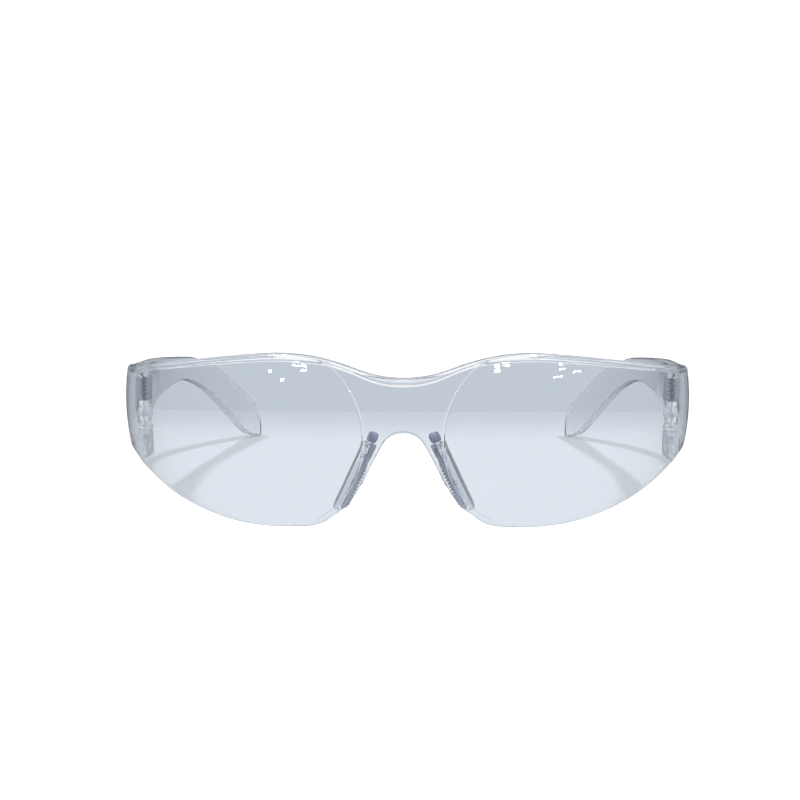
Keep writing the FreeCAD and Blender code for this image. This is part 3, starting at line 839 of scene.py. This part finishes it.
def build_world():
    """Different surroundings for the rays that see them, that mirror them and that light the piece."""
    world = bpy.data.worlds.new("studio")
    bpy.context.scene.world = world
    world.use_nodes = True
    nodes, link = world.node_tree.nodes, world.node_tree.links.new
    ambient = nodes["Background"]
    ambient.inputs["Color"].default_value = (0.97, 0.98, 1.0, 1)
    ambient.inputs["Strength"].default_value = AMBIENT
    white = node(world, "ShaderNodeBackground", Color=(1, 1, 1, 1), Strength=BACKGROUND)
    paths, seen = node(world, "ShaderNodeLightPath"), node(world, "ShaderNodeMath")
    seen.operation = "MAXIMUM"
    link(paths.outputs["Is Camera Ray"], seen.inputs[0])
    link(paths.outputs["Is Transmission Ray"], seen.inputs[1])
    spot, split = node(world, "ShaderNodeTexCoord"), node(world, "ShaderNodeSeparateXYZ")
    link(spot.outputs["Generated"], split.inputs["Vector"])
    climb = node(world, "ShaderNodeMapRange", From_Min=0.2, From_Max=0.9, To_Min=ROOM_LOW, To_Max=ROOM_HIGH)
    climb.interpolation_type = "SMOOTHSTEP"
    link(split.outputs["Z"], climb.inputs["Value"])
    room = node(world, "ShaderNodeBackground")
    link(climb.outputs["Result"], room.inputs["Strength"])
    mirrored, choose = node(world, "ShaderNodeMixShader"), node(world, "ShaderNodeMixShader")
    for mix, share, first, second in ((mirrored, paths.outputs["Is Glossy Ray"], ambient, room),
                                      (choose, seen.outputs[0], mirrored, white)):
        link(share, mix.inputs[0])
        link(first.outputs[0], mix.inputs[1])
        link(second.outputs[0], mix.inputs[2])
    link(choose.outputs[0], nodes["World Output"].inputs["Surface"])


def new_lamp(name, kind):
    data = bpy.data.lights.new(name, kind)
    lamp = bpy.data.objects.new(name, data)
    bpy.context.scene.collection.objects.link(lamp)
    return lamp, data


def build_lights():
    """The mirrored bars, and two weak suns that cast the temples' shadows."""
    for azimuth, elevation, width, height in BAR_LAMPS:
        lamp, data = new_lamp("bar_lamp", "AREA")
        data.shape = "RECTANGLE"
        data.size, data.size_y = (2 * BAR_DISTANCE * math.tan(math.radians(size) / 2)
                                  for size in (width, height))
        data.energy = BAR_RADIANCE * math.pi * data.size * data.size_y
        azimuth, elevation = math.radians(azimuth), math.radians(elevation)
        way = Vector((math.sin(azimuth) * math.cos(elevation), -math.cos(azimuth) * math.cos(elevation),
                      math.sin(elevation)))
        lamp.location = way * BAR_DISTANCE + place((0, 0, EYE_HEIGHT))
        lamp.rotation_euler = way.to_track_quat("Z", "Y").to_euler()
        lamp.visible_diffuse = lamp.visible_camera = False
    for side in (-1, 1):
        lamp, data = new_lamp("side_lamp", "SUN")
        data.energy, data.angle = SUN_STRENGTH, math.radians(SUN_SIZE)
        lamp.rotation_euler = (0, math.radians(side * SUN_TILT), 0)


# The camera's place was fitted to the photo: millimetres from the front of the glasses, and degrees.
CAMERA_DISTANCE, CAMERA_HEIGHT = 400.0, 77.16
CAMERA_YAW, CAMERA_PITCH, CAMERA_SHIFT_X = 1.191, 6.578, -0.75
FOCAL_PIXELS, FRAME_PIXELS = 1767.6, 800


def build_camera():
    data = bpy.data.cameras.new("camera")
    data.sensor_width = 36.0
    data.lens = data.sensor_width * FOCAL_PIXELS / FRAME_PIXELS
    data.clip_start = 0.01
    camera = bpy.data.objects.new("camera", data)
    yaw = math.radians(CAMERA_YAW)
    camera.location = place((math.sin(yaw) * CAMERA_DISTANCE + CAMERA_SHIFT_X,
                             -math.cos(yaw) * CAMERA_DISTANCE, CAMERA_HEIGHT))
    camera.rotation_euler = (math.radians(90 - CAMERA_PITCH), 0, yaw)
    bpy.context.scene.collection.objects.link(camera)
    bpy.context.scene.camera = camera


def main():
    lens_plastic = clear_plastic("clear_polycarbonate", (0.96, 0.975, 0.99), (0.0, 0.03), 0.05, 0.97)
    arm_plastic = clear_plastic("clear_temple_plastic", (0.985, 0.99, 1.0), (0.04, 0.10), 0.08, 0.45,
                                density=7.0)
    pad_plastic = clear_plastic("clear_pad_plastic", (0.95, 0.95, 0.97), (0.03, 0.10), 0.08, 0.97,
                                (0.39, 0.40, 0.50), 240.0)
    tip_plastic = milky_plastic("mauve_pad_tip", (0.29, 0.31, 0.44))
    # Painted shade: a dark tint on the clear temple's upper knuckle, for the darkness seen there.
    hinge_shade_plastic = clear_plastic("painted_shade_hinge_block", (0.42, 0.45, 0.49), (0.08, 0.16), 0.1, 0.5)
    screw_steel = steel("screw_steel")

    lens = build_lens()
    lens.data.materials.append(lens_plastic)
    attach(lens, "front")
    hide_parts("lens")
    for label, side, body in (("left", 1, "left_arm"), ("right", -1, "right_arm")):
        temple = build_temple("clear_temple_" + label, side)
        temple.data.materials.append(arm_plastic)
        paint_faces(temple, hinge_shade_plastic, on_hinge_block)
        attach(temple, body)
        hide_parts("temple_" + label)
        screw = build_screw("steel_screw_" + label, side)
        screw.data.materials.append(screw_steel)
        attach(screw, body)
        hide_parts("hinge_screw_" + label)
        pad = build_pad("ribbed_pad_" + label, side)
        pad.data.materials.append(pad_plastic)
        paint_faces(pad, tip_plastic, on_pad_knob)
        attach(pad, "front")
        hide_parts("nose_pad_" + label)
    build_stage()
    build_world()
    build_lights()
    build_camera()
    scene = bpy.context.scene
    scene.view_settings.view_transform = "Standard"
    scene.cycles.max_bounces = scene.cycles.transmission_bounces = scene.cycles.glossy_bounces = 24
    scene.cycles.transparent_max_bounces = 32


main()
